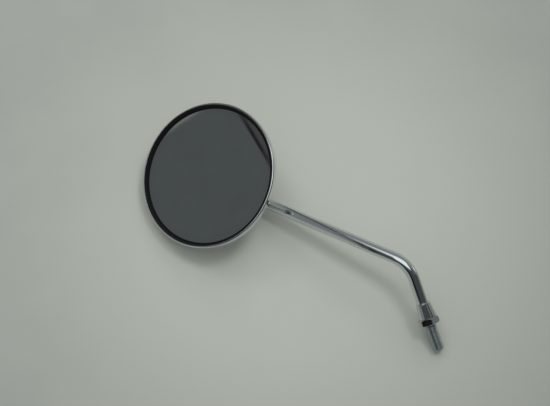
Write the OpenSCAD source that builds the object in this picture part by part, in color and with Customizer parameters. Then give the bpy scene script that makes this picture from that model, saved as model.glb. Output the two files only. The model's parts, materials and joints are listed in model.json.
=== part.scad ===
// Round rear-view mirror on a bent rod stem, for a motorcycle's handlebar clamp.
// Origin: the stud axis at the lock nut's lower face. +Z runs up the stud, the glass looks
// towards -Y, and the stem bends over towards -X, as on the left-hand side of the handlebar.

/* [Stud, collar and lock nut] */
// Free threaded length below the lock nut
stud_len = 23.5; // [15:0.5:40]
// Outside diameter of the stud's thread
stud_d = 9.9; // [7.9:0.1:12]
// Chamfer at the stud's end
stud_chamfer = 1.2; // [0.4:0.1:2]
// Depth of the countersink at the nut's lower face, one pitch of its thread
thread_pitch = 1.25; // [0.8:0.05:1.75]
// Width of the lock nut across its flats
nut_af = 16; // [14:1:19]
// Height of the lock nut
nut_h = 6; // [4:0.5:10]
// Turn of the nut's corners about the stud
nut_turn = 8; // [0:1:59]
// Length of the tapered collar
collar_len = 13; // [8:1:25]
// Collar diameter at its top
collar_top_d = 12.4; // [11.5:0.1:15]
// Collar diameter at its base, on the nut
collar_base_d = 16; // [13:0.1:20]

/* [Stem] */
// Diameter of the rod
rod_d = 10; // [8:0.5:12]
// Height of the main bend's corner above the nut's lower face
lower_rise = 55; // [45:1:90]
// Angle of the main bend
main_bend = 52; // [20:1:75]
// Radius of the main bend, to the rod's centre line
main_bend_r = 28; // [15:1:40]
// Distance between the main bend's corner and the crank's corner
upper_run = 149; // [90:1:220]
// Angle of the small crank behind the head
crank_bend = 11; // [2:1:25]
// Direction of the crank about the upper straight
crank_turn = -43; // [-180:1:180]
// Radius of the crank
crank_r = 40; // [20:1:60]
// Distance from the crank's corner to the centre of the ball
neck_run = 37.3; // [30:0.1:60]
// Diameter of the turned-down neck beside the ball
neck_d = 6.8; // [5:0.1:8]
// Distance from the ball's centre to the end of the thin neck
neck_len = 15; // [13:0.5:18]
// Length of the cone between the neck and the rod
neck_cone = 4; // [2:0.5:8]

/* [Ball joint] */
// Diameter of the ball
ball_d = 17; // [15:0.5:20]
// Wall of the two plastic seats round the ball
seat_t = 1.4; // [1:0.1:2]
// Running clearance between the sliding spheres, on the radius
seat_gap = 0.05; // [0.02:0.01:0.1]
// Angle between the neck and the plane of the glass
neck_angle = 16; // [8:1:30]
// Direction of the glass about the neck
head_turn = -26.5; // [-180:0.5:180]
// Radius of the hole that the neck comes out of
neck_hole_r = 7.4; // [6:0.1:7.6]

/* [Head] */
// Outside diameter of the head over the bezel
head_d = 130; // [110:1:160]
// Sheet thickness of the back shell
shell_t = 0.8; // [0.6:0.1:1.2]
// Depth of the shell behind the rim, without its socket
dome_depth = 23; // [20:0.5:30]
// Radius where the shell's wall turns into its dished back
knuckle_r = 12; // [8:0.5:14]
// Fillet where the socket rises from the shell
socket_fillet = 5; // [3:0.5:8]
// Sheet thickness of the bezel
bezel_t = 0.6; // [0.4:0.1:1]
// Height of the bezel's skirt
bezel_h = 4.5; // [3:0.1:8]
// Width of the bezel's rolled lip
lip_w = 1.6; // [1.2:0.1:2.5]

/* [Glass] */
// Depth of the glass below the rim's plane
glass_recess = 3.5; // [2:0.1:5]
// Thickness of the glass
glass_t = 3; // [2:0.1:4]
// Width of the black seal that shows between the lip and the glass
seal_show = 3.4; // [2:0.1:6]
// How far the seal laps over the edge of the glass
seal_lap = 1.6; // [1:0.1:3]
// Thickness of the foam pad behind the glass
pad_t = 1.5; // [0.8:0.1:3]
// Sheet thickness of the glass carrier
carrier_t = 1; // [0.8:0.1:1.5]

/* [Clamp inside the head] */
// Thickness of the doubler plate round the socket
doubler_t = 1.2; // [0.8:0.1:2]
// Outer radius of the doubler plate
doubler_r = 28.5; // [27:0.5:34]
// Radius of the circle of the three clamp screws
screw_circle_r = 23; // [21.5:0.5:25]
// Nominal diameter of the clamp screws
screw_d = 4; // [3:1:5]
// Sheet thickness of the clamp bridge
bridge_t = 1.5; // [1:0.1:2]
// Wire diameter of the clamp spring
wire_d = 1.8; // [1.2:0.1:2.2]
// Turns of the clamp spring
spring_turns = 3; // [2:1:5]
// Height of the clamp spring as it is fitted
spring_h = 8.3; // [6:0.1:14]
// Height of the weld nuts
weld_nut_h = 3; // [2:0.1:5]

/* [Hidden] */
$fn = 96;
eps = 0.01;
snug = 0.05;                 // clearance of a pressed or threaded fit, on the radius
screws = 3;                  // clamp screws round the ball

// Stud, collar and nut
stud_r = stud_d / 2;
nut_bore_r = stud_r + snug;
thread_relief = 0.2;
shank_r = stud_r - thread_relief; // under the nut and the collar
nut_chamfer = 0.9;           // height of the chamfer at the nut's corners
nut_face_r = nut_af / 2 - 0.3; // its flat faces end here
collar_edge = 0.5;
collar_top = nut_h + collar_len;

// Stem
rod_r = rod_d / 2;
neck_r = neck_d / 2;
main_t = main_bend_r * tan(main_bend / 2);
crank_t = crank_r * tan(crank_bend / 2);
cone_end = neck_len + neck_cone;
bend_thin = 0.01;            // a rod draws a little thinner where it is bent
weld = 0.05;                 // each straight runs this far into its bend

// Ball joint
ball_r = ball_d / 2;
spigot_r = neck_r - 0.6;
ball_flat = sqrt(ball_r * ball_r - neck_r * neck_r);
spigot_end = sqrt(ball_r * ball_r - spigot_r * spigot_r);
seat_in = ball_r + seat_gap;
seat_out = seat_in + seat_t;
socket_r = seat_out + seat_gap;
inner_seat_edge = 52;        // the inner seat covers this angle round the glass side
cup_edge = inner_seat_edge - 2;
outer_seat_edge = 72;        // the outer seat starts at this angle and covers the back
seat_hole_r = neck_r + 0.4;

// Shell, in the rim's frame: the rim's plane is z = 0, the back is below it
head_r = head_d / 2;
wall_r = head_r - bezel_t;
lip_r = head_r - lip_w;
lip_h = lip_w;
knuckle_x = wall_r - knuckle_r;
dome_b = dome_depth - bezel_h;
dome_r = (dome_b * dome_b + knuckle_x * knuckle_x - knuckle_r * knuckle_r)
         / (2 * (dome_b - knuckle_r));
dome_z = dome_r - dome_depth;
dome_edge = atan2(knuckle_x, dome_z + bezel_h);
boss_r = socket_r + shell_t;
fillet_x = boss_r + socket_fillet;
fillet_z = dome_z - sqrt(pow(dome_r + socket_fillet, 2) - fillet_x * fillet_x);
fillet_a = asin(fillet_x / (dome_r + socket_fillet));

// Glass pack, in the rim's frame
show_r = lip_r - seal_show;
glass_r = show_r + seal_lap;
glass_back = -glass_recess - glass_t;
pad_back = glass_back - pad_t;
carrier_back = pad_back - carrier_t;
bridge_gap = 1;              // between the bridge and the carrier
cup_seat = socket_r + 0.2;   // the spring's shoulder on the cup, above the ball's centre
ball_depth = cup_seat + spring_h + bridge_t + bridge_gap - carrier_back;
inner_wall_r = wall_r - shell_t;
inner_knuckle = knuckle_r - shell_t;
seal_back_r = knuckle_x + sqrt(pow(inner_knuckle, 2) - pow(pad_back + bezel_h, 2)) - snug;
carrier_r = inner_wall_r - 2.6;
carrier_foot = -bezel_h - sqrt(pow(inner_knuckle, 2) - pow(carrier_r - knuckle_x, 2)) + snug;
carrier_corner = 1.8;
carrier_holes = 6;           // lightening holes
carrier_hole_r = 9;

// Clamp, in the ball's frame: the ball's centre is the origin, the glass is towards +z
dome_floor = ball_depth - dome_depth + shell_t;
floor_r = dome_r - shell_t;
floor_c = dome_floor + floor_r;
cup_r = socket_r - 0.7;
cup_top = cup_seat + 2;
cup_boss_r = 5;
bridge_low = cup_seat + spring_h;
bridge_top = bridge_low + bridge_t;
doubler_top = floor_c - sqrt(pow(floor_r - doubler_t, 2) - pow(screw_circle_r, 2));
ear_low = doubler_top + weld_nut_h;
ear_top = ear_low + bridge_t;
ear_r = 5;
bridge_cap_r = cup_r + 1.2;
bridge_skirt_r = bridge_cap_r + 4;
bridge_rim_r = bridge_skirt_r + 3;
washer_t = 0.9;
washer_w = 1.4;              // width of the washer's ring
head_low = ear_top + washer_t;
screw_r = screw_d / 2;
screw_tip = doubler_top + 0.7;
screw_point = 0.4;           // chamfer at the screw's tip
screw_head_r = 0.97 * screw_d;
screw_head_h = 0.58 * screw_d;
screw_edge = 0.8;            // rounding of the screw's head
drive_w = 0.9;               // width of its cross slots
weld_nut_r = 0.95 * screw_d; // to the corners
braze = 0.02;                // gap at the doubler, which the braze fills
doubler_low = fillet_x + 0.7;
coil_r = (cup_boss_r + cup_r) / 2;
coil_low = cup_seat + wire_d / 2;
coil_high = bridge_low - wire_d / 2;
spring_steps = 20;           // steps in each turn of the spring
wire_sides = 8;

function arc(c, r, a0, a1, n) =
    [for (i = [0:n]) c + r * [cos(a0 + (a1 - a0) * i / n), sin(a0 + (a1 - a0) * i / n)]];

// A turned piece, from a half profile of [radius, height] points
module turned(points) rotate_extrude() polygon(points);

// A rod bend in the XZ plane: it enters along +z below the corner and leaves towards +x
module rod_bend(corner, reach, bend_r, angle)
    translate([bend_r, 0, corner - reach]) rotate([90, 0, 0]) rotate([0, 0, 180 - angle])
        rotate_extrude(angle = angle) translate([bend_r, 0]) circle(rod_r - bend_thin);

// Frames along the stem, each with +z along the rod
module at_upper() translate([0, 0, lower_rise]) rotate([0, -main_bend, 0]) children();
module at_neck()
    at_upper() translate([0, 0, upper_run]) rotate([0, 0, crank_turn]) rotate([0, crank_bend, 0])
        children();
module at_ball() at_neck() translate([0, 0, neck_run]) children();

// The head's frame: +z out of the glass, +x towards the stem, origin at the ball or the rim
module at_head() at_ball() rotate([0, 0, head_turn]) rotate([0, 90 - neck_angle, 0]) children();
module at_rim() at_head() translate([0, 0, ball_depth]) children();
module each_screw()
    for (i = [0:screws - 1]) rotate([0, 0, 360 / screws * (i + 0.5)])
        translate([screw_circle_r, 0, 0]) children();

// The neck's direction, seen from the ball in the head's frame
module along_neck() rotate([0, 90 + neck_angle, 0]) children();

// One bent rod, threaded below and turned down to a spigot in the ball
module stem() color([0.75, 0.77, 0.76]) {
    turned([[0, -stud_len], [stud_r - stud_chamfer, -stud_len], [stud_r, -stud_len + stud_chamfer],
            [stud_r, 0], [shank_r, 0], [shank_r, collar_top], [rod_r, collar_top],
            [rod_r, lower_rise - main_t + weld], [0, lower_rise - main_t + weld]]);
    rotate([0, 0, 180]) rod_bend(lower_rise, main_t, main_bend_r, main_bend);
    at_upper() {
        translate([0, 0, main_t - weld]) cylinder(h = upper_run - main_t - crank_t + 2 * weld, r = rod_r);
        rotate([0, 0, crank_turn]) rod_bend(upper_run, crank_t, crank_r, crank_bend);
    }
    at_neck() turned([[0, crank_t - weld], [rod_r, crank_t - weld], [rod_r, neck_run - cone_end],
                      [neck_r, neck_run - neck_len], [neck_r, neck_run - ball_flat],
                      [spigot_r, neck_run - ball_flat], [spigot_r, neck_run + spigot_end],
                      [0, neck_run + spigot_end]]);
}

module pivot_ball() color([0.6, 0.6, 0.62]) at_ball() difference() {
    sphere(ball_r);
    translate([0, 0, -ball_d]) cylinder(h = 2 * ball_d, r = spigot_r + snug / 2);
    translate([0, 0, -ball_d - ball_flat]) cylinder(h = ball_d, r = ball_r);
}

module taper_collar() color([0.72, 0.74, 0.73])
    turned([[shank_r + snug, nut_h], [collar_base_d / 2 - collar_edge, nut_h],
            [collar_base_d / 2, nut_h + collar_edge], [collar_top_d / 2, collar_top - collar_edge],
            [collar_top_d / 2 - collar_edge, collar_top], [shank_r + snug, collar_top]]);

// Hexagon nut with both faces chamfered and a countersunk thread
module lock_nut() color([0.7, 0.72, 0.72]) difference() {
    intersection() {
        rotate([0, 0, nut_turn]) cylinder(h = nut_h, r = nut_af / sqrt(3), $fn = 6);
        turned([[0, 0], [nut_face_r, 0], [nut_af / sqrt(3) + eps, nut_chamfer],
                [nut_af / sqrt(3) + eps, nut_h - nut_chamfer], [nut_face_r, nut_h], [0, nut_h]]);
    }
    translate([0, 0, -eps]) cylinder(h = nut_h + 2 * eps, r = nut_bore_r);
    translate([0, 0, -eps]) cylinder(h = thread_pitch, r1 = nut_bore_r + thread_pitch, r2 = nut_bore_r);
}

// Plastic seats, both parts of hollow spheres round the ball
module outer_seat() color([0.9, 0.9, 0.86]) at_head() difference() {
    turned(concat(arc([0, 0], seat_out, -90, 90 - outer_seat_edge, 24),
                  arc([0, 0], seat_in, 90 - outer_seat_edge, -90, 24)));
    along_neck() cylinder(h = 2 * seat_out, r = seat_hole_r);
}
module inner_seat() color([0.9, 0.9, 0.86]) at_head()
    turned(concat(arc([0, 0], seat_out, 90 - inner_seat_edge, 90, 16),
                  arc([0, 0], seat_in, 90, 90 - inner_seat_edge, 16)));

// Steel cup that the spring presses on the inner seat
module pressure_cup() color([0.55, 0.56, 0.58]) at_head()
    turned(concat(arc([0, 0], socket_r, 90, 90 - cup_edge, 16),
                  [[cup_r, socket_r * cos(cup_edge)], [cup_r, cup_seat], [cup_boss_r, cup_seat],
                   [cup_boss_r - 0.5, cup_top], [0, cup_top]]));

// Round wire coiled between the cup and the bridge
module clamp_spring() color([0.4, 0.4, 0.42]) at_head() {
    rings = spring_turns * spring_steps;
    points = [for (i = [0:rings], j = [0:wire_sides - 1])
        let (turn = 360 * i / spring_steps, side = 360 * j / wire_sides,
             out = coil_r + wire_d / 2 * cos(side),
             up = coil_low + (coil_high - coil_low) * i / rings + wire_d / 2 * sin(side))
        [out * cos(turn), out * sin(turn), up]];
    walls = [for (i = [0:rings - 1], j = [0:wire_sides - 1])
        let (a = i * wire_sides + j, b = i * wire_sides + (j + 1) % wire_sides)
        [a, b, b + wire_sides, a + wire_sides]];
    ends = [[for (j = [wire_sides - 1:-1:0]) j],
            [for (j = [0:wire_sides - 1]) rings * wire_sides + j]];
    polyhedron(points, concat(walls, ends), convexity = 10);
}

// Pressed cap over the spring, with three ears for the screws
module clamp_bridge() color([0.62, 0.62, 0.6]) at_head() difference() {
    union() {
        turned([[0, bridge_low], [bridge_cap_r, bridge_low], [bridge_skirt_r, ear_low],
                [bridge_rim_r, ear_low], [bridge_rim_r, ear_top],
                [bridge_skirt_r + 1, ear_top], [bridge_cap_r + 1, bridge_top], [0, bridge_top]]);
        each_screw() translate([0, 0, ear_low]) cylinder(h = bridge_t, r = ear_r);
        each_screw() translate([bridge_skirt_r + 1 - screw_circle_r, -ear_r, ear_low])
            cube([screw_circle_r - bridge_skirt_r - 1, 2 * ear_r, bridge_t]);
    }
    each_screw() translate([0, 0, ear_low - 1]) cylinder(h = bridge_t + 2, r = screw_r + 0.25);
    translate([0, 0, bridge_low - 1]) cylinder(h = bridge_t + 2, r = cup_boss_r);
}

module weld_nuts() color([0.58, 0.58, 0.56]) at_head() difference() {
    each_screw() translate([0, 0, dome_floor])
        cylinder(h = ear_low - dome_floor, r = weld_nut_r, $fn = 6);
    each_screw() translate([0, 0, dome_floor]) cylinder(h = ear_low, r = screw_r + snug);
    difference() {
        translate([0, 0, dome_floor - 1]) cylinder(h = ear_low, r = doubler_r + 1);
        translate([0, 0, floor_c]) sphere(floor_r - doubler_t, $fn = 360);
    }
}

module lock_washers() color([0.5, 0.5, 0.5]) at_head() each_screw()
    turned([[screw_r + 0.2, ear_top], [screw_r + 0.2 + washer_w, ear_top],
            [screw_r + 0.2 + washer_w, head_low], [screw_r + 0.2, head_low]]);

module clamp_screws() color([0.66, 0.66, 0.62]) at_head() each_screw() difference() {
    turned(concat([[0, screw_tip], [screw_r - screw_point, screw_tip],
                   [screw_r, screw_tip + screw_point], [screw_r, head_low], [screw_head_r, head_low]],
                  arc([screw_head_r - screw_edge, head_low + screw_head_h - screw_edge],
                      screw_edge, 0, 90, 6),
                  [[0, head_low + screw_head_h]]));
    for (a = [0, 90]) rotate([0, 0, a]) translate([-screw_r, -drive_w / 2, head_low + screw_head_h / 2])
        cube([screw_d, drive_w, screw_d]);
}

// Doubler plate that stiffens the shell round the socket
module socket_doubler() color([0.6, 0.6, 0.6]) at_head() difference() {
    translate([0, 0, dome_floor - 1]) difference() {
        cylinder(h = ear_low - dome_floor, r = doubler_r);
        translate([0, 0, -1]) cylinder(h = ear_low - dome_floor + 2, r = doubler_low);
    }
    translate([0, 0, floor_c]) sphere(floor_r - doubler_t, $fn = 360);
    difference() {
        translate([0, 0, -doubler_r]) cylinder(h = 2 * doubler_r, r = doubler_r + 1);
        translate([0, 0, floor_c]) sphere(floor_r - braze, $fn = 360);
    }
}

// Half profile of one face of the shell, at a depth inside its outer face
function shell_face(t) = concat(
    [[wall_r - t, -lip_h]],
    arc([knuckle_x, -bezel_h], knuckle_r - t, 0, dome_edge - 90, 14),
    arc([0, dome_z], dome_r - t, dome_edge - 90 - dome_edge / 12, fillet_a - 90, 11),
    arc([fillet_x, fillet_z], socket_fillet + t, 90 + fillet_a, 180, 10),
    arc([0, -ball_depth], boss_r - t, 0, -90, 16));
function reversed(list) = [for (i = [len(list) - 1:-1:0]) list[i]];

// Pressed dish with a round socket for the ball, and a hole in its side for the neck
module back_shell() color([0.8, 0.82, 0.81]) difference() {
    at_rim() turned(concat(shell_face(0), reversed(shell_face(shell_t))));
    at_head() along_neck() cylinder(h = 3 * boss_r, r = neck_hole_r);
}

module bezel_ring() color([0.85, 0.87, 0.86]) at_rim()
    turned(concat([[head_r, -bezel_h]], arc([head_r - lip_w / 2, -lip_w / 2], lip_w / 2, 0, 180, 12),
                  [[lip_r, -lip_h], [wall_r, -lip_h], [wall_r, -bezel_h]]));

// Rubber channel round the glass: a sloping flank, a groove and a lip that lies on the glass
module glass_seal() color([0.07, 0.08, 0.08]) at_rim()
    turned([[inner_wall_r - snug, -lip_h], [inner_wall_r - snug, -bezel_h],
            [seal_back_r, pad_back], [show_r, pad_back], [show_r, glass_back],
            [glass_r, glass_back], [glass_r, -glass_recess], [show_r, -glass_recess],
            [show_r + 0.3, -glass_recess + 0.5], [show_r + 0.9, -glass_recess + 0.7],
            [show_r + 1.2, -glass_recess + 0.5], [lip_r - 0.5, -0.9],
            [lip_r, -1.1], [lip_r, -lip_h]]);

module mirror_glass() color([0.28, 0.3, 0.3]) at_rim()
    turned([[0, glass_back], [glass_r - 0.4, glass_back], [glass_r, glass_back + 0.4],
            [glass_r, -glass_recess - 0.4], [glass_r - 0.4, -glass_recess], [0, -glass_recess]]);

module backing_pad() color([0.15, 0.15, 0.15]) at_rim()
    translate([0, 0, pad_back]) cylinder(h = pad_t, r = show_r - 0.3);

// Shallow steel pan that holds the glass pack up against the lip
module glass_carrier() color([0.5, 0.5, 0.48]) at_rim() difference() {
    turned(concat([[0, pad_back]], arc([carrier_r - carrier_corner, pad_back - carrier_corner],
                                       carrier_corner, 90, 0, 6),
                  [[carrier_r, carrier_foot], [carrier_r - carrier_t, carrier_foot]],
                  arc([carrier_r - carrier_corner, pad_back - carrier_corner],
                      carrier_corner - carrier_t, 0, 90, 6), [[0, carrier_back]]));
    for (i = [0:carrier_holes - 1]) rotate([0, 0, 360 / carrier_holes * i])
        translate([(bridge_cap_r + carrier_r) / 2, 0, carrier_back - 1])
            cylinder(h = carrier_t + 2, r = carrier_hole_r);
    translate([0, 0, carrier_back - 1]) cylinder(h = carrier_t + 2, r = bridge_cap_r);
}

stem();
pivot_ball();
taper_collar();
lock_nut();
outer_seat();
inner_seat();
pressure_cup();
clamp_spring();
clamp_bridge();
weld_nuts();
lock_washers();
clamp_screws();
socket_doubler();
back_shell();
bezel_ring();
glass_seal();
mirror_glass();
backing_pad();
glass_carrier();
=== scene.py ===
# A round chrome mirror on its bent stem, laid on a pale table as in the photograph.
import json
import math

import bmesh
import bpy
from mathutils import Matrix, Vector


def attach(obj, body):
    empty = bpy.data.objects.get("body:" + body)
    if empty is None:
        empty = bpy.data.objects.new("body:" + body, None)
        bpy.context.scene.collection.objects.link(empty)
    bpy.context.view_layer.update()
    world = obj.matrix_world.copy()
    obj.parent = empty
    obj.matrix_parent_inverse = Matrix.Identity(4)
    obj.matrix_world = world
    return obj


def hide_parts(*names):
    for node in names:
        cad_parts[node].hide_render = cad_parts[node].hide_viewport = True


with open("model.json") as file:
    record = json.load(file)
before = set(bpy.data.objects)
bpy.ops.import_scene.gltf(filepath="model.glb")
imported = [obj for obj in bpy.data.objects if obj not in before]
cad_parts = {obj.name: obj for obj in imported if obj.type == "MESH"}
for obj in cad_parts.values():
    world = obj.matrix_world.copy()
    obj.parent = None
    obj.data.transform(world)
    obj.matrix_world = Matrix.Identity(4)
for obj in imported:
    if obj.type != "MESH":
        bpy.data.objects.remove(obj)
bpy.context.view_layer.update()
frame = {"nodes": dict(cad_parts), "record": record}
print("frame loaded:", len(frame["nodes"]), "nodes")

mm = 0.001
tau = 2 * math.pi
alongX, alongY, alongZ = (1, 0, 0), (0, 1, 0), (0, 0, 1)


# where things are: millimetres, each place with +Z along the rod or out of the glass
def turned(angle, axis):
    return Matrix.Rotation(math.radians(angle), 4, axis)


def moved(x=0, y=0, z=0):
    return Matrix.Translation((x, y, z))


stem = {
    "rod": 5.0,                                              # radius of the rod
    "mainCorner": 55, "mainBend": 52, "mainRadius": 28, "mainSteps": 40,
    "upperRun": 149, "upperParts": 6,
    "crankTurn": -43, "crankBend": 11, "crankRadius": 40, "crankSteps": 12,
    "neckRun": 37.3, "neck": 3.4, "neckLength": 15, "coneLength": 4,
    "spigot": 2.8, "spigotLength": 5,                        # turned end that carries the ball
    "seat": 4.7, "seatLow": 8, "seatHigh": 18.5, "seatChamfer": 0.6,      # turned end inside the collar
    "sides": 96,
}
head = {"neckAngle": 16, "turn": -26.5, "ballDepth": 30}

atUpper = moved(z=stem["mainCorner"]) @ turned(-stem["mainBend"], "Y")
beforeCrank = atUpper @ moved(z=stem["upperRun"]) @ turned(stem["crankTurn"], "Z")
atNeck = beforeCrank @ turned(stem["crankBend"], "Y")
atBall = atNeck @ moved(z=stem["neckRun"])
atHead = atBall @ turned(head["turn"], "Z") @ turned(90 - head["neckAngle"], "Y")
atRim = atHead @ moved(z=head["ballDepth"])
onStud = Matrix.Identity(4)


def placeAlong(x, y, z, origin):
    # a matrix from three axes and a point, all in metres
    return Matrix(((x.x, y.x, z.x, origin[0]), (x.y, y.y, z.y, origin[1]), (x.z, y.z, z.z, origin[2]), (0, 0, 0, 1)))


# camera: set from the photograph
camera = {
    "place": (0.3778, -0.8507, 0.1994),
    "right": (0.8289, 0.4434, -0.341),
    "up": (0.2691, 0.2183, 0.938),
    "lens": 72, "sensor": 36, "clipStart": 0.05,
}
camData = bpy.data.cameras.new("photoCamera")
camData.lens = camera["lens"]
camData.sensor_width = camera["sensor"]
camData.clip_start = camera["clipStart"]
cam = bpy.data.objects.new("photoCamera", camData)
bpy.context.collection.objects.link(cam)
camRight = Vector(camera["right"]).normalized()
camBack = camRight.cross(Vector(camera["up"])).normalized()
camUp = camBack.cross(camRight)
cam.matrix_world = placeAlong(camRight, camUp, camBack, camera["place"])
bpy.context.scene.camera = cam
bpy.context.scene.view_settings.view_transform = "Standard"


# shader helpers
class Graph:
    # a node tree with short calls, so that each finish below reads as a list of steps
    def __init__(self, tree):
        self.tree = tree
        tree.nodes.clear()

    def add(self, kind, sockets=None, **settings):
        node = self.tree.nodes.new(kind)
        for key, value in settings.items():
            setattr(node, key, value)
        for key, value in (sockets or {}).items():
            self.put(node.inputs[key], value)
        return node

    def put(self, socket, value):
        if isinstance(value, bpy.types.NodeSocket):
            self.tree.links.new(value, socket)
        else:
            socket.default_value = value

    def maths(self, operation, first, second=0.0, third=0.0):
        node = self.add("ShaderNodeMath", operation=operation)
        for i, value in enumerate((first, second, third)):
            self.put(node.inputs[i], value)
        return node.outputs[0]

    def plus(self, first, second):
        return self.maths("ADD", first, second)

    def times(self, first, second):
        return self.maths("MULTIPLY", first, second)

    def brighten(self, value, mask, amount):
        return self.plus(value, self.times(mask, amount))

    def darken(self, value, mask, amount):
        return self.times(value, self.maths("SUBTRACT", 1.0, self.times(mask, amount)))

    def dot(self, vector, fixed):
        node = self.add("ShaderNodeVectorMath", operation="DOT_PRODUCT")
        self.put(node.inputs[0], vector)
        node.inputs[1].default_value = fixed
        return node.outputs["Value"]

    def fromAxis(self, local):
        # distance from the place's Z axis
        squares = [self.maths("POWER", self.dot(local, axis), 2.0) for axis in (alongX, alongY)]
        return self.maths("SQRT", self.plus(*squares))

    def ramp(self, value, low, high, start=0.0, end=1.0):
        node = self.add("ShaderNodeMapRange", clamp=True)
        node.interpolation_type = "SMOOTHSTEP"
        for key, v in zip(("Value", "From Min", "From Max", "To Min", "To Max"), (value, low, high, start, end)):
            self.put(node.inputs[key], v)
        return node.outputs["Result"]

    def mix(self, factor, first, second):
        node = self.add("ShaderNodeMix", {"Factor": factor, "A": first, "B": second}, data_type="RGBA")
        return node.outputs["Result"]

    def noise(self, vector, scale, detail, roughness):
        sockets = {"Vector": vector, "Scale": scale, "Detail": detail, "Roughness": roughness}
        return self.add("ShaderNodeTexNoise", sockets).outputs["Fac"]

    def bump(self, shader, height, strength, depth):
        node = self.add("ShaderNodeBump", {"Height": height, "Strength": strength, "Distance": depth * mm})
        self.put(shader.inputs["Normal"], node.outputs[0])


def newMaterial(name):
    material = bpy.data.materials.new(name)
    material.use_nodes = True
    graph = Graph(material.node_tree)
    shader = graph.add("ShaderNodeBsdfPrincipled")
    graph.add("ShaderNodeOutputMaterial", {"Surface": shader.outputs[0]})
    coords = graph.add("ShaderNodeTexCoord").outputs["Object"]
    return material, graph, shader, coords


def placedCoords(graph, coords, place, stretch=(1, 1, 1)):
    # the piece's own axes, in millimetres, from the row's coordinates
    inverse = place.inverted() @ Matrix.Scale(1 / mm, 4)
    rows = [graph.dot(coords, tuple(inverse[i][:3])) for i in range(3)]
    parts = [graph.maths("MULTIPLY_ADD", rows[i], stretch[i], inverse[i][3] * stretch[i]) for i in range(3)]
    return graph.add("ShaderNodeCombineXYZ", dict(zip("XYZ", parts))).outputs[0]


def shaded(colour, share):
    return tuple(c * share for c in colour[:3]) + (1,)


# plated finishes
plating = {
    "tint": (0.645, 0.675, 0.68, 1), "dull": 0.72,           # clean plate, and how dark its dull patches are
    "lines": 6, "cloud": 0.09, "fine": 1.4, "specks": 2.6,   # noise scales, per millimetre
    "speckRough": 0.10, "bump": 0.12, "bumpDepth": 0.006,
    "threadTint": (0.44, 0.485, 0.50, 1), "threadRough": 0.05, "threadTop": 0.3, "threadFade": 0.6,
}


def chrome(name, tint, rough, haze, place, grain, wear=0.0, threaded=False):
    # polished plate: faint polishing lines along the piece, cloudy patches and a few dull specks
    p = plating
    material, graph, shader, coords = newMaterial(name)
    local = placedCoords(graph, coords, place)
    lines = graph.noise(placedCoords(graph, coords, place, grain), p["lines"], 3, 0.6)
    cloud = graph.noise(local, p["cloud"], 4, 0.55)
    fine = graph.noise(local, p["fine"], 5, 0.65)
    specks = graph.ramp(graph.noise(local, p["specks"], 2, 0.5), 0.70, 0.78)
    roughness = graph.plus(graph.ramp(cloud, 0.3, 0.75, rough, rough + haze),
                           graph.ramp(lines, 0.35, 0.8, 0, haze * 0.5))
    roughness = graph.brighten(roughness, specks, p["speckRough"] + wear)
    dull = shaded(tint, p["dull"])
    shade = graph.mix(graph.ramp(fine, 0.55, 0.85, 0, 0.35 + wear), tint, dull)
    shade = graph.mix(graph.times(specks, 0.5), shade, dull)
    if threaded:      # the thread is plated thinly and has handling grime in it
        onThread = graph.ramp(graph.dot(coords, (0, 0, 1 / mm)), p["threadTop"], p["threadTop"] - p["threadFade"])
        shade = graph.mix(onThread, shade, p["threadTint"])
        roughness = graph.brighten(roughness, onThread, p["threadRough"])
    graph.put(shader.inputs["Roughness"], roughness)
    graph.put(shader.inputs["Base Color"], shade)
    graph.put(shader.inputs["Metallic"], 1.0)
    graph.bump(shader, graph.plus(lines, graph.times(cloud, 2.0)), p["bump"], p["bumpDepth"])
    return material


stemChrome = chrome("stemChrome", plating["tint"], 0.035, 0.05, atUpper, (1, 1, 0.04), threaded=True)
collarChrome = chrome("collarChrome", (0.60, 0.62, 0.62, 1), 0.05, 0.06, onStud, (1, 1, 0.05), wear=0.05)
nutChrome = chrome("nutChrome", (0.57, 0.59, 0.59, 1), 0.07, 0.08, onStud, (1, 1, 0.3), wear=0.1)
shellChrome = chrome("shellChrome", plating["tint"], 0.04, 0.05, atRim, (0.3, 0.3, 1))
bezelChrome = chrome("bezelChrome", (0.70, 0.71, 0.72, 1), 0.04, 0.05, atRim, (0.5, 0.5, 0.5))

silvering = {
    "clean": (0.73, 0.80, 0.79, 1), "dusty": (0.66, 0.715, 0.71, 1),
    "rough": 0.010, "wiped": 0.022, "wipeTurn": 35,
    "dustFrom": 52, "dustTo": 60,                            # radii of the dust that gathers at the seal
    "coat": 0.3, "coatRough": 0.02,
}


def mirrorCoat():
    # silvered glass, darker than chrome, with a light film of dust and a few wipe marks
    c = silvering
    material, graph, shader, coords = newMaterial("mirrorCoat")
    local = placedCoords(graph, coords, atRim)
    acrossWipes = placedCoords(graph, coords, atRim @ turned(c["wipeTurn"], "Z"), (0.05, 0.5, 1))
    wipes = graph.noise(acrossWipes, 0.7, 4, 0.6)
    film = graph.noise(local, 0.035, 3, 0.5)
    grit = graph.ramp(graph.noise(local, 3.5, 2, 0.5), 0.74, 0.80)
    edgeDust = graph.ramp(graph.fromAxis(local), c["dustFrom"], c["dustTo"])
    roughness = graph.brighten(graph.ramp(wipes, 0.45, 0.8, c["rough"], c["wiped"]), edgeDust, 0.02)
    dust = graph.brighten(graph.ramp(film, 0.35, 0.7, 0, 0.5), edgeDust, 0.4)
    graph.put(shader.inputs["Roughness"], graph.brighten(roughness, grit, 0.2))
    graph.put(shader.inputs["Base Color"], graph.mix(dust, c["clean"], c["dusty"]))
    graph.put(shader.inputs["Metallic"], 1.0)
    graph.put(shader.inputs["Coat Weight"], c["coat"])
    graph.put(shader.inputs["Coat Roughness"], c["coatRough"])
    return material


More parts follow.
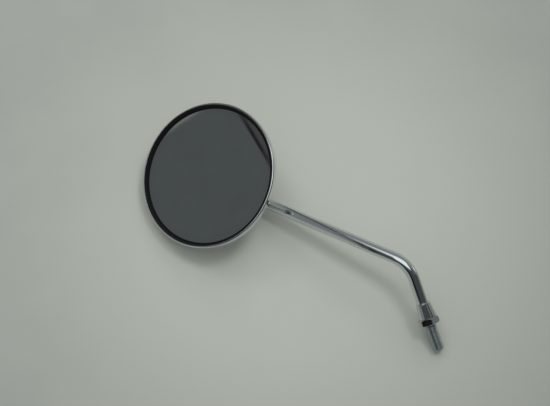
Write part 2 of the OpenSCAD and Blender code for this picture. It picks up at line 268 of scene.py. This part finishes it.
rubber = {
    "lip": (0.002, 0.003, 0.0032, 1), "dusty": (0.008, 0.0095, 0.0105, 1),
    "flankFrom": 61.2, "flankTo": 62.2,                      # radii between the lip and the dusty flank
    "rough": 0.5, "dustRough": 0.68, "specular": 0.22,
}


def sealRubber():
    # satin black rubber: dusty grey on the outer flank, black on the lip that lies on the glass
    c = rubber
    material, graph, shader, coords = newMaterial("sealRubber")
    local = placedCoords(graph, coords, atRim)
    flank = graph.ramp(graph.fromAxis(local), c["flankFrom"], c["flankTo"])
    dust = graph.noise(local, 0.5, 5, 0.7)
    pores = graph.noise(local, 9, 3, 0.7)
    amount = graph.times(graph.ramp(flank, 0, 1, 0.25, 1.0), graph.ramp(dust, 0.3, 0.8, 0.5, 1.0))
    graph.put(shader.inputs["Base Color"], graph.mix(amount, c["lip"], c["dusty"]))
    graph.put(shader.inputs["Roughness"], graph.ramp(dust, 0.3, 0.8, c["rough"], c["dustRough"]))
    graph.put(shader.inputs["Specular IOR Level"], c["specular"])
    graph.bump(shader, pores, 0.35, 0.03)
    return material


def hiddenFinish(name, tint, rough, metallic, spots):
    # plated or bare steel, plastic and foam inside the head
    material, graph, shader, coords = newMaterial(name)
    local = placedCoords(graph, coords, atHead)
    patches = graph.noise(local, 0.35, 4, 0.6)
    fine = graph.noise(local, 5, 3, 0.6)
    shade = graph.mix(graph.ramp(patches, 0.35, 0.75, 0, spots), tint, shaded(tint, 0.55))
    graph.put(shader.inputs["Base Color"], shade)
    graph.put(shader.inputs["Roughness"], graph.ramp(patches, 0.3, 0.8, rough, rough + 0.18))
    graph.put(shader.inputs["Metallic"], metallic)
    graph.bump(shader, fine, 0.3, 0.02)
    return material


innerFinishes = {      # by the record's material slot
    "ball_steel": hiddenFinish("ballSteel", (0.62, 0.62, 0.63, 1), 0.18, 1.0, 0.3),
    "clamp_steel": hiddenFinish("clampSteel", (0.58, 0.58, 0.52, 1), 0.32, 1.0, 0.5),
    "spring_steel": hiddenFinish("springSteel", (0.22, 0.22, 0.23, 1), 0.35, 1.0, 0.5),
    "seat_plastic": hiddenFinish("seatPlastic", (0.74, 0.73, 0.68, 1), 0.45, 0.0, 0.25),
    "pad_foam": hiddenFinish("padFoam", (0.03, 0.03, 0.032, 1), 0.85, 0.0, 0.5),
}
nodeSlots = {row["node"]: row["material_slot"] for row in frame["record"]["subparts"]}
for name, node in frame["nodes"].items():
    finish = innerFinishes.get(nodeSlots[name])
    if finish:
        for materialSlot in node.material_slots:
            materialSlot.material = finish
print("finishes made")


# bmesh helpers: shapes are drawn in millimetres on their own axes, then set in place
def arc(centre, radius, start, end, count):
    angles = [math.radians(start + (end - start) * i / count) for i in range(count + 1)]
    return [(centre[0] + radius * math.cos(a), centre[1] + radius * math.sin(a)) for a in angles]


def rounded(corners, radii, steps=5):
    # a closed outline with each corner turned into an arc of its radius
    points = []
    for i, corner in enumerate(corners):
        here, radius = Vector(corner), radii[i]
        if radius <= 0:
            points.append(tuple(here))
            continue
        before = (Vector(corners[i - 1]) - here).normalized()
        after = (Vector(corners[(i + 1) % len(corners)]) - here).normalized()
        half = before.angle(after) / 2
        reach = radius / math.tan(half)
        centre = here + (before + after).normalized() * (radius / math.sin(half))
        first, last = here + before * reach - centre, here + after * reach - centre
        sweep = first.angle_signed(last)
        for k in range(steps + 1):
            a = -sweep * k / steps
            points.append((centre.x + first.x * math.cos(a) - first.y * math.sin(a),
                           centre.y + first.x * math.sin(a) + first.y * math.cos(a)))
    return points


def spread(points, longest):
    # adds points so that no side of the closed outline is longer than asked
    out = []
    for start, end in zip(points, points[1:] + points[:1]):
        a, b = Vector(start), Vector(end)
        parts = max(1, math.ceil((b - a).length / longest))
        out += [tuple(a.lerp(b, k / parts)) for k in range(parts)]
    return out


def lathe(points, steps, closed=True):
    mesh = bmesh.new()
    verts = [mesh.verts.new((r, 0, z)) for r, z in points]
    edges = [mesh.edges.new(pair) for pair in zip(verts, verts[1:])]
    if closed:
        edges.append(mesh.edges.new((verts[-1], verts[0])))
    bmesh.ops.spin(mesh, geom=verts + edges, cent=(0, 0, 0), axis=alongZ, angle=tau, steps=steps,
                   use_merge=True, use_duplicate=False)
    bmesh.ops.remove_doubles(mesh, verts=mesh.verts, dist=0.0005)
    bmesh.ops.recalc_face_normals(mesh, faces=mesh.faces)
    return mesh


def onlyEdges(geom):
    return [g for g in geom if isinstance(g, bmesh.types.BMEdge)]


def makePiece(name, mesh, place, material, body, node, sharpFrom=40, evenShade=False):
    bmesh.ops.transform(mesh, matrix=Matrix.Scale(mm, 4) @ place, verts=mesh.verts)
    data = bpy.data.meshes.new(name)
    mesh.to_mesh(data)
    mesh.free()
    data.shade_smooth()
    data.set_sharp_from_angle(angle=math.radians(sharpFrom))
    data.materials.append(material)
    piece = bpy.data.objects.new(name, data)
    bpy.context.collection.objects.link(piece)
    if evenShade:
        piece.modifiers.new("evenShade", "WEIGHTED_NORMAL").keep_sharp = True
    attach(piece, body)
    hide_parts(node)
    print(f"{name}: {len(data.polygons)} faces")


# stem: the rod is pushed ring by ring along its path, and the thread added below it
def ringVerts(ring):
    return list({v for e in ring for v in e.verts})


def ringCentre(ring):
    verts = ringVerts(ring)
    return sum((v.co for v in verts), Vector()) / len(verts)


def stepRing(mesh, ring, along, distance, grow=1.0):
    # moves a copy of the ring along, and grows or shrinks it about its own centre
    centre = ringCentre(ring) + along * distance
    made = bmesh.ops.extrude_edge_only(mesh, edges=ring)["geom"]
    verts = [g for g in made if isinstance(g, bmesh.types.BMVert)]
    inRing = set(verts)
    edges = [e for e in onlyEdges(made) if all(v in inRing for v in e.verts)]
    bmesh.ops.translate(mesh, verts=verts, vec=along * distance)
    if grow != 1.0:
        bmesh.ops.scale(mesh, vec=(grow, grow, grow), space=Matrix.Translation(-centre), verts=verts)
    return edges


def bendRing(mesh, ring, centre, axis, angle, steps):
    made = bmesh.ops.spin(mesh, geom=ringVerts(ring) + ring, cent=centre, axis=axis, angle=math.radians(angle),
                          steps=steps, use_merge=False, use_duplicate=False)
    return onlyEdges(made["geom_last"])


def buildStem():
    s = stem
    rod, neck, seat = s["rod"], s["neck"], s["seat"]
    mesh = bmesh.new()
    start = bmesh.ops.create_circle(mesh, cap_ends=True, radius=seat - s["seatChamfer"], segments=s["sides"],
                                    matrix=moved(z=s["seatLow"]))
    ring = list({e for v in start["verts"] for e in v.link_edges})
    along = Vector(alongZ)
    ring = stepRing(mesh, ring, along, s["seatChamfer"], seat / (seat - s["seatChamfer"]))
    ring = stepRing(mesh, ring, along, s["seatHigh"] - s["seatLow"] - s["seatChamfer"])
    wide = seat
    for rise, radius in ((0.1, rod - 0.15), (0.15, rod - 0.04), (0.15, rod)):      # shoulder above the collar
        ring = stepRing(mesh, ring, along, rise, radius / wide)
        wide = radius
    mainReach = s["mainRadius"] * math.tan(math.radians(s["mainBend"] / 2))
    bendStart = s["mainCorner"] - mainReach
    ring = stepRing(mesh, ring, along, bendStart - ringCentre(ring).z)
    bendCentre = Vector((-s["mainRadius"], 0, bendStart))
    ring = bendRing(mesh, ring, bendCentre, alongY, -s["mainBend"], s["mainSteps"])
    crank = beforeCrank.to_3x3()
    along = (crank @ Vector(alongZ)).normalized()
    crankReach = s["crankRadius"] * math.tan(math.radians(s["crankBend"] / 2))
    straight = s["upperRun"] - mainReach - crankReach
    for part in range(s["upperParts"]):
        ring = stepRing(mesh, ring, along, straight / s["upperParts"])
    crankCentre = beforeCrank.translation - along * crankReach + crank @ Vector(alongX) * s["crankRadius"]
    ring = bendRing(mesh, ring, crankCentre, crank @ Vector(alongY), s["crankBend"], s["crankSteps"])
    along = (atNeck.to_3x3() @ Vector(alongZ)).normalized()
    ring = stepRing(mesh, ring, along, s["neckRun"] - s["neckLength"] - s["coneLength"] - crankReach - 0.4)
    wide = rod
    cone = [(0.4, rod - 0.03), (0.4, rod - 0.14), (3.2, neck + 0.14), (0.4, neck + 0.02), (0.4, neck)]
    for distance, radius in cone + [(6.6, neck), (s["spigotLength"], s["spigot"])]:
        ring = stepRing(mesh, ring, along, distance, radius / wide)
        wide = radius
    bmesh.ops.edgeloop_fill(mesh, edges=ring)
    bmesh.ops.remove_doubles(mesh, verts=mesh.verts, dist=0.001)
    bmesh.ops.recalc_face_normals(mesh, faces=mesh.faces)
    return mesh


thread = {
    "pitch": 1.25, "crest": 4.95, "root": 4.27, "flank": 30, "ease": 0.05,
    "low": -23.5, "high": 6.9, "chamfer": 1.2, "inCollar": 4.74, "steps": 64,
}


def addThread(mesh):
    t = thread
    pitch, crest, root, ease = t["pitch"], t["crest"], t["root"], t["ease"]
    flank = (crest - root) * math.tan(math.radians(t["flank"]))
    rootWidth = (pitch - 2 * flank) / 2 * 1.3
    low = t["low"] - 1.2 * pitch
    turns = math.ceil((t["high"] - low) / pitch) + 1
    tooth = [(root, 0), (root - 0.03, rootWidth / 2), (root, rootWidth), (crest - 0.02, rootWidth + flank),
             (crest, rootWidth + flank + ease), (crest, pitch - flank - ease), (crest - 0.02, pitch - flank),
             (root, pitch)]
    screw = bmesh.new()
    verts = [screw.verts.new((r, 0, low + z)) for r, z in tooth]
    edges = [screw.edges.new(pair) for pair in zip(verts, verts[1:])]
    bmesh.ops.spin(screw, geom=verts + edges, cent=(0, 0, 0), axis=alongZ, dvec=(0, 0, pitch / t["steps"]),
                   angle=tau * turns, steps=t["steps"] * turns, use_merge=False, use_duplicate=False)
    bmesh.ops.remove_doubles(screw, verts=screw.verts, dist=0.002)
    for height, normal in ((t["low"], (0, 0, -1)), (t["high"], alongZ)):
        cut = bmesh.ops.bisect_plane(screw, geom=screw.verts[:] + screw.edges[:] + screw.faces[:], dist=0.0005,
                                     plane_co=(0, 0, height), plane_no=normal, clear_outer=True)
        bmesh.ops.edgeloop_fill(screw, edges=onlyEdges(cut["geom_cut"]))
    for v in screw.verts:      # the chamfer at the end, and the run-out inside the collar
        most = min(crest - t["chamfer"] + (v.co.z - t["low"]), t["inCollar"] if v.co.z >= 0 else math.inf)
        reach = math.hypot(v.co.x, v.co.y)
        if reach > most:
            v.co.x, v.co.y = v.co.x * most / reach, v.co.y * most / reach
    bmesh.ops.recalc_face_normals(screw, faces=screw.faces)
    joined = bpy.data.meshes.new("threadPart")
    screw.to_mesh(joined)
    screw.free()
    mesh.from_mesh(joined)
    bpy.data.meshes.remove(joined)


rodMesh = buildStem()
addThread(rodMesh)
makePiece("stemRod", rodMesh, onStud, stemChrome, "mount", "stem", sharpFrom=50)


# collar: a cone with its edges just broken
collar = {"low": 6, "high": 19, "base": 8.0, "top": 6.2, "bore": 4.8, "edge": 0.5, "boreEdge": 0.15, "steps": 128}
c = collar
outline = rounded([(c["bore"], c["low"]), (c["base"], c["low"]), (c["top"], c["high"]), (c["bore"], c["high"])],
                  [0, c["edge"], c["edge"], c["boreEdge"]])
makePiece("taperCollar", lathe(spread(outline, 2.0), c["steps"]), onStud, collarChrome,
          "mount", "taper_collar", evenShade=True)


# lock nut: a ring whose outer wall is drawn in to six flats, under its chamfers
nut = {
    "flats": 16, "height": 6, "turn": 8, "bore": 5.05, "lowSink": 0.85, "topSink": 0.4,
    "face": 7.7, "slope": 30, "worn": 0.075, "bevel": 0.1, "segments": 192,
}


def buildNut():
    n = nut
    corner = n["flats"] / math.sqrt(3)
    bore, face, top = n["bore"], n["face"], n["height"]
    mesh = lathe([(bore, n["lowSink"]), (bore + n["lowSink"], 0), (face, 0), (corner, 0), (corner, top), (face, top),
                  (bore + n["topSink"], top), (bore, top - n["topSink"])], n["segments"])
    for v in mesh.verts:
        if math.hypot(v.co.x, v.co.y) > corner - 0.1:
            a = math.atan2(v.co.y, v.co.x)
            inSixth = (math.degrees(a) % 60) - 30
            reach = min(n["flats"] / 2 / math.cos(math.radians(inSixth)), corner - n["worn"])
            drop = (reach - face) * math.tan(math.radians(n["slope"]))
            v.co = Vector((reach * math.cos(a), reach * math.sin(a), top - drop if v.co.z > top / 2 else drop))
    bmesh.ops.recalc_face_normals(mesh, faces=mesh.faces)
    crisp = [e for e in mesh.edges if e.calc_face_angle(0) > math.radians(18)]
    bmesh.ops.bevel(mesh, geom=crisp, affect="EDGES", offset=n["bevel"], offset_type="OFFSET", segments=2,
                    profile=0.5, material=-1, clamp_overlap=True)
    return mesh


makePiece("lockNut", buildNut(), turned(nut["turn"], "Z"), nutChrome, "nut", "lock_nut", evenShade=True)


# back shell: a dish with a ball socket, and a round hole in the socket's side for the neck
shell = {
    "wall": 64.4, "sheet": 0.8, "skirt": 4.5, "lip": 1.6, "knuckle": 12, "depth": 23,
    "fillet": 5, "boss": 10.8, "hole": 7.4, "steps": 256,
}
s = shell
knuckleX = s["wall"] - s["knuckle"]
domeRise = s["depth"] - s["skirt"]
domeRadius = (domeRise ** 2 + knuckleX ** 2 - s["knuckle"] ** 2) / (2 * (domeRise - s["knuckle"]))
domeZ = domeRadius - s["depth"]
domeEdge = math.degrees(math.atan2(knuckleX, domeZ + s["skirt"]))
filletX = s["boss"] + s["fillet"]
filletZ = domeZ - math.sqrt((domeRadius + s["fillet"]) ** 2 - filletX ** 2)
filletAngle = math.degrees(math.asin(filletX / (domeRadius + s["fillet"])))
filletTouch = filletX * domeRadius / (domeRadius + s["fillet"])
ballPlace = Vector((0, 0, -head["ballDepth"]))
neckFall = math.radians(head["neckAngle"])
neckWay = Vector((math.cos(neckFall), 0, -math.sin(neckFall)))


def ontoShell(p):
    # the nearest point of the shell's outer face, near the socket
    if p.z <= ballPlace.z:
        return ballPlace + (p - ballPlace).normalized() * s["boss"]
    if math.hypot(p.x, p.y) < filletTouch:
        filletCentre = Vector((p.x, p.y, 0)).normalized() * filletX + Vector((0, 0, filletZ))
        return filletCentre + (p - filletCentre).normalized() * s["fillet"]
    dome = Vector((0, 0, domeZ))
    return dome + (p - dome).normalized() * domeRadius


def acrossNeck(p):
    # how far a point is from the neck's line, as a vector
    d = p - ballPlace
    return d - neckWay * d.dot(neckWay)


def fromNeck(p):
    return acrossNeck(p).length if (p - ballPlace).dot(neckWay) > 0 else math.inf


def buildShell():
    profile = [(s["wall"], -s["lip"]), (s["wall"], -3.0)]
    profile += arc((knuckleX, -s["skirt"]), s["knuckle"], 0, domeEdge - 90, 22)
    profile += arc((0, domeZ), domeRadius, domeEdge - 92, filletAngle - 90, 22)
    profile += arc((filletX, filletZ), s["fillet"], 90 + filletAngle, 180, 18)[1:]
    profile += arc((0, ballPlace.z), s["boss"], 0, -90, 30)
    clean = [profile[0]]
    for point in profile[1:]:
        if (Vector(point) - Vector(clean[-1])).length > 0.02:
            clean.append(point)
    clean[-1] = (0, clean[-1][1])
    mesh = lathe(clean, s["steps"], closed=False)
    gone = [f for f in mesh.faces if fromNeck(f.calc_center_median()) < s["hole"]]
    bmesh.ops.delete(mesh, geom=gone, context="FACES")
    hole = {v for e in mesh.edges if e.is_boundary for v in e.verts if fromNeck(v.co) < s["hole"] + 1.5}
    for v in hole:      # draws the ragged edge out to a true circle about the neck
        for _ in range(6):
            across = acrossNeck(v.co)
            v.co = ontoShell(v.co + across.normalized() * (s["hole"] - across.length))
    bmesh.ops.recalc_face_normals(mesh, faces=mesh.faces)
    middle = Vector((0, 0, 60))      # well inside the dish, so outward faces look away from it
    if sum(f.normal.dot(f.calc_center_median() - middle) * f.calc_area() for f in mesh.faces) < 0:
        bmesh.ops.reverse_faces(mesh, faces=mesh.faces)
    bmesh.ops.solidify(mesh, geom=mesh.faces[:], thickness=s["sheet"])
    return mesh


makePiece("backShell", buildShell(), atRim, shellChrome, "head", "back_shell", sharpFrom=50)


# bezel: a thin skirt over the shell, with its front rolled into a round lip
bezel = {"outside": 65, "skirt": 4.5, "sheet": 0.6, "lip": 1.6, "corner": 1.3, "inner": 0.2, "edge": 0.12, "steps": 288}
b = bezel
lipInside, skirtInside = b["outside"] - b["lip"], b["outside"] - b["sheet"]
outline = rounded([(b["outside"], -b["skirt"]), (b["outside"], 0), (lipInside, -0.08), (lipInside, -b["lip"]),
                   (skirtInside, -b["lip"]), (skirtInside, -b["skirt"])],
                  [b["edge"], b["corner"], b["inner"], 0.1, 0.08, b["edge"]], 8)
makePiece("bezelRing", lathe(spread(outline, 0.9), b["steps"]), atRim, bezelChrome,
          "head", "bezel_ring", evenShade=True)


# seal: rubber channel with a sloping flank, a fine groove and a lip on the glass
seal = {
    "corners": [(63.55, -1.6), (63.55, -4.5), (62.9, -8), (60, -8), (60, -6.5), (61.6, -6.5), (61.6, -3.5),
                (60, -3.5), (60.3, -3.0), (60.9, -2.8), (61.2, -3.0), (62.9, -0.9), (63.4, -1.1), (63.4, -1.6)],
    "radii": [0, 0, 0.2, 0.2, 0, 0, 0, 0.1, 0.2, 0.15, 0.12, 0.2, 0.1, 0],
    "steps": 256,
}
outline = rounded(seal["corners"], seal["radii"], 4)
makePiece("glassSeal", lathe(outline, seal["steps"]), atRim, sealRubber(), "head", "glass_seal")


# glass: a flat disc with its edge ground round
glass = {
    "radius": 61.6, "back": -6.5, "front": -3.5, "edge": 0.4,
    "backRings": (0, 30, 61.0), "frontRings": (61.0, 60, 45, 20, 0), "steps": 256,
}
g = glass
edgeX = g["radius"] - g["edge"]
outline = [(r, g["back"]) for r in g["backRings"]]
outline += arc((edgeX, g["back"] + g["edge"]), g["edge"], -90, 0, 3)
outline += arc((edgeX, g["front"] - g["edge"]), g["edge"], 0, 90, 3)
outline += [(r, g["front"]) for r in g["frontRings"]]
makePiece("mirrorGlass", lathe(outline, g["steps"], closed=False), atRim, mirrorCoat(),
          "head", "mirror_glass", sharpFrom=30, evenShade=True)
print("pieces made")


# table: the plane that the socket, the shell's edge and the stud's end rest on
table = {
    "normal": (0.5281, -0.7494, 0.3995), "level": -13.449, "centre": (-0.07, -0.01, 0.10), "size": 8.0,
    # painted shade: the table's colour goes from near to outer with distance from the object, standing in for light
    # that falls off towards the edges
    "near": (0.440, 0.472, 0.423, 1), "outer": (0.296, 0.318, 0.290, 1), "paintedShadeFrom": 50, "paintedShadeTo": 330,
    "mottle": (0.39, 0.42, 0.38, 1), "rough": 0.75, "specular": 0.15,
    "paintedLightLean": (-0.00042, 0.00033), "leanAt": 1.046, "leanLow": 0.85, "leanHigh": 1.18,      # painted light and shade: the colour is scaled brighter to one side and darker to the other, to even the lamps' light across it
    "endsFrom": 190, "endsTo": 330, "beyond": (0.05, 0.05, 0.05, 1),
}
tableUp = Vector(table["normal"]).normalized()
tableTop = camUp - tableUp * camUp.dot(tableUp)
tableTop.normalize()
tableRight = tableTop.cross(tableUp)
centre = Vector(table["centre"])
foot = centre + tableUp * (table["level"] * mm - centre.dot(tableUp))
tablePlace = placeAlong(tableRight, tableTop, tableUp, foot)
mesh = bmesh.new()
bmesh.ops.create_grid(mesh, x_segments=8, y_segments=8, size=table["size"] / 2, matrix=tablePlace)
data = bpy.data.meshes.new("tableTop")
mesh.to_mesh(data)
mesh.free()
tableObject = bpy.data.objects.new("tableTop", data)
bpy.context.collection.objects.link(tableObject)


def tablePaint():
    # matt paint with painted shade towards its edges and a painted lean of light across it, seen from above only, so
    # that views from below look through it
    t = table
    paper = bpy.data.materials.new("tablePaint")
    paper.use_nodes = True
    graph = Graph(paper.node_tree)
    coords = graph.add("ShaderNodeTexCoord").outputs["Object"]
    local = placedCoords(graph, coords, Matrix.Scale(1 / mm, 4) @ tablePlace @ Matrix.Scale(mm, 4))
    sideways, ahead = graph.dot(local, alongX), graph.dot(local, alongY)
    # painted shade: the table is painted darker with distance from the object
    paint = graph.mix(graph.ramp(graph.fromAxis(local), t["paintedShadeFrom"], t["paintedShadeTo"]), t["near"], t["outer"])
    mottle = graph.noise(local, 0.012, 3, 0.5)
    paint = graph.mix(graph.ramp(mottle, 0.3, 0.7, 0, 0.2), paint, t["mottle"])
    # painted light and shade: a clamped linear lean in brightness across the table, evening out the lamps' light
    paintedLightLean = graph.plus(graph.times(sideways, t["paintedLightLean"][0]), graph.times(ahead, t["paintedLightLean"][1]))
    paintedLightLean = graph.maths("MAXIMUM", graph.plus(paintedLightLean, t["leanAt"]), t["leanLow"])
    paintedLightLean = graph.maths("MINIMUM", paintedLightLean, t["leanHigh"])
    paint = graph.add("ShaderNodeVectorMath", {0: paint, "Scale": paintedLightLean}, operation="SCALE").outputs[0]
    glossy = graph.add("ShaderNodeLightPath").outputs["Is Glossy Ray"]
    pastRight = graph.times(glossy, graph.ramp(sideways, t["endsFrom"], t["endsTo"], 0, 0.8))
    paint = graph.mix(pastRight, paint, t["beyond"])      # what the chrome sees past the table's right side
    matt = graph.add("ShaderNodeBsdfPrincipled",
                     {"Base Color": paint, "Roughness": t["rough"], "Specular IOR Level": t["specular"]})
    clear = graph.add("ShaderNodeBsdfTransparent")
    behind = graph.add("ShaderNodeNewGeometry").outputs["Backfacing"]
    mixed = graph.add("ShaderNodeMixShader", {0: behind, 1: matt.outputs[0], 2: clear.outputs[0]})
    graph.add("ShaderNodeOutputMaterial", {"Surface": mixed.outputs[0]})
    return paper


data.materials.append(tablePaint())


# lamps: soft, and only for the matt surfaces; the chrome sees the room below
def towards(elevation, azimuth):
    # a direction above the table, in degrees, with azimuth clockwise from the top of the picture
    e, a = math.radians(elevation), math.radians(azimuth)
    return tableUp * math.sin(e) + (tableRight * math.sin(a) + tableTop * math.cos(a)) * math.cos(e)


lampDistance = 3.0
lamps = {      # elevation, azimuth, size and share of the light
    "upperRightLamp": (63.6, 54, 0.80, 0.20),
    "upperMiddleLamp": (46, 30, 0.90, 0.04),
    "upperLowLamp": (32, 13, 0.75, 0.045),
    "upperLeftLamp": (50, -34, 1.00, 0.09),
    "overheadLamp": (82, -30, 2.0, 0.12),
}
for name, (elevation, azimuth, size, share) in lamps.items():
    direction = towards(elevation, azimuth)
    light = bpy.data.lights.new(name, "AREA")
    light.shape = "DISK"
    light.size = size
    light.energy = share * math.pi ** 2 * lampDistance ** 2 / math.sin(math.radians(elevation))
    lampObject = bpy.data.objects.new(name, light)
    lampObject.location = foot + direction * lampDistance
    lampObject.rotation_mode = "QUATERNION"
    lampObject.rotation_quaternion = direction.to_track_quat("Z", "Y")
    lampObject.visible_glossy = False
    lampObject.visible_camera = False
    bpy.context.collection.objects.link(lampObject)


# the room: pale for the camera, even for matt surfaces, and dim with one large window for chrome and glass
room = {
    "pale": (0.36, 0.385, 0.35, 1), "even": 0.49, "tint": (0.95, 1, 1),
    "dark": 0.072, "glow": 0.28, "glowWay": (0.087, 0.996), "glowFrom": 0.16, "glowTo": 0.34,
    "horizon": 0.27, "far": 0.85, "left": 0.75,              # low bands of light round the room
    "window": 1.05, "edge": 0.06,
    "sides": ((0.907, -0.421, -0.47), (0, -1, -0.36), (-1, 0, -0.36), (-0.4, 1, -0.27)),      # of the window overhead
    "middle": 0.23, "glass": 0.088, "wallFoot": 0.19,        # a wall beyond the window, dimmer towards the glass
    "wallLean": -0.10, "wallFrom": (0.284, 0.292),
    "frameFrom": (0.270, 0.278), "frameTo": (0.296, 0.287), "frame": 0.88,      # the window's dark frame
    "farLamp": (6, 61, 4, 3, 1.2),                           # round patches: elevation, azimuth, width, softness, level
    "darkPatch": (34, -148, 9, 8, 0.9),
    "rightGleam": (51, 94, 2, 4, 0.22),
}
inGlassOnly = {      # a dark beam at the glass's upper right, brown beyond it, and a pale sliver at its upper left
    "centre": (-0.28, -0.745, 0.605), "from": 0.985, "to": 0.99,
    "beam": (0.9291, 0.0025, 0.3699), "beamWidth": (0.0024, 0.0009), "beamDark": 0.82,
    "brownFade": 0.003, "brownDark": 0.20, "brown": (1.02, 0.98, 0.98),
    "sliver": (-0.3165, 0.6967, 0.6437), "sliverFade": (-0.0002, 0.0014), "sliverLevel": 0.12,
}
r, q = room, inGlassOnly
world = bpy.data.worlds.new("room")
world.use_nodes = True
bpy.context.scene.world = world
graph = Graph(world.node_tree)
way = graph.add("ShaderNodeTexCoord").outputs["Generated"]
height = graph.dot(way, tuple(tableUp))
across = graph.dot(way, tuple(tableRight))
ahead = graph.dot(way, tuple(tableTop))
rodWay = (atUpper.to_3x3() @ Vector(alongZ)).normalized()
alongRod = graph.dot(way, tuple(rodWay))
aboveTable = graph.maths("MAXIMUM", height, 0.02)
overheadX = graph.maths("DIVIDE", across, aboveTable)      # where the direction meets a ceiling
overheadY = graph.maths("DIVIDE", ahead, aboveTable)


def side(a, b, limit):
    # 1 where a * x + b * y on the ceiling is over the limit
    value = graph.maths("MULTIPLY_ADD", overheadX, a, graph.times(overheadY, b))
    return graph.ramp(value, limit - r["edge"], limit + r["edge"])


def patch(elevation, azimuth, width, softness):
    # 1 inside a round patch of the room
    outer, inner = (math.cos(math.radians(angle)) for angle in (width + softness, width))
    return graph.ramp(graph.dot(way, tuple(towards(elevation, azimuth))), outer, inner)


def tinted(value, colour):
    channels = {key: graph.times(value, share) for key, share in zip(("Red", "Green", "Blue"), colour)}
    return graph.add("ShaderNodeCombineColor", channels).outputs[0]


window = side(*r["sides"][0])
for numbers in r["sides"][1:]:
    window = graph.times(window, side(*numbers))
glowAlong = graph.plus(graph.times(ahead, r["glowWay"][1]), graph.times(across, r["glowWay"][0]))
glow = graph.ramp(glowAlong, r["glowFrom"], r["glowTo"])
level = graph.brighten(r["dark"], glow, r["glow"] - r["dark"])
lowBand = graph.times(graph.ramp(height, 0.36, 0.0), graph.ramp(ahead, 0.2, 0.8, r["horizon"], r["far"]))
level = graph.maths("MAXIMUM", level, lowBand)
leftBand = graph.times(graph.ramp(across, -0.75, -0.92), graph.ramp(ahead, -0.38, -0.2))
leftBand = graph.times(leftBand, graph.ramp(height, 0.34, 0.15))
level = graph.maths("MAXIMUM", level, graph.times(leftBand, r["left"]))
level = graph.brighten(level, window, r["window"])

pastEnd = graph.maths("MULTIPLY_ADD", graph.plus(across, 0.45), r["wallLean"], alongRod)
wall = graph.ramp(pastEnd, *r["wallFrom"])
wallLevel = graph.ramp(alongRod, 0.36, 0.52, r["middle"], r["glass"])
wallLevel = graph.brighten(wallLevel, graph.ramp(height, 0.6, 0.1), r["wallFoot"])
level = graph.add("ShaderNodeMix", {"Factor": wall, "A": level, "B": wallLevel}).outputs["Result"]
frameLine = graph.times(graph.ramp(pastEnd, *r["frameFrom"]), graph.ramp(pastEnd, *r["frameTo"]))
level = graph.darken(level, frameLine, r["frame"])
level = graph.brighten(level, patch(*r["farLamp"][:4]), r["farLamp"][4])
level = graph.darken(level, patch(*r["darkPatch"][:4]), r["darkPatch"][4])
level = graph.brighten(level, patch(*r["rightGleam"][:4]), r["rightGleam"][4])

beam = graph.dot(way, q["beam"])
inGlass = graph.ramp(graph.dot(way, q["centre"]), q["from"], q["to"])
beamLine = graph.times(graph.ramp(graph.maths("ABSOLUTE", beam), *q["beamWidth"]), inGlass)
level = graph.darken(level, beamLine, q["beamDark"])
sliver = graph.times(graph.ramp(graph.dot(way, q["sliver"]), *q["sliverFade"]), inGlass)
level = graph.brighten(level, sliver, q["sliverLevel"])
brown = graph.times(graph.ramp(beam, 0.0, q["brownFade"]), inGlass)
level = graph.darken(level, brown, q["brownDark"])
roomColour = graph.mix(graph.maths("MAXIMUM", brown, sliver), tinted(level, r["tint"]), tinted(level, q["brown"]))

rays = graph.add("ShaderNodeLightPath")
colour = graph.mix(rays.outputs["Is Glossy Ray"], (r["even"],) * 3 + (1,), roomColour)
colour = graph.mix(rays.outputs["Is Camera Ray"], colour, r["pale"])
skyLight = graph.add("ShaderNodeBackground", {"Color": colour, "Strength": 1.0})
graph.add("ShaderNodeOutputWorld", {"Surface": skyLight.outputs[0]})
print("stage and lamps made")
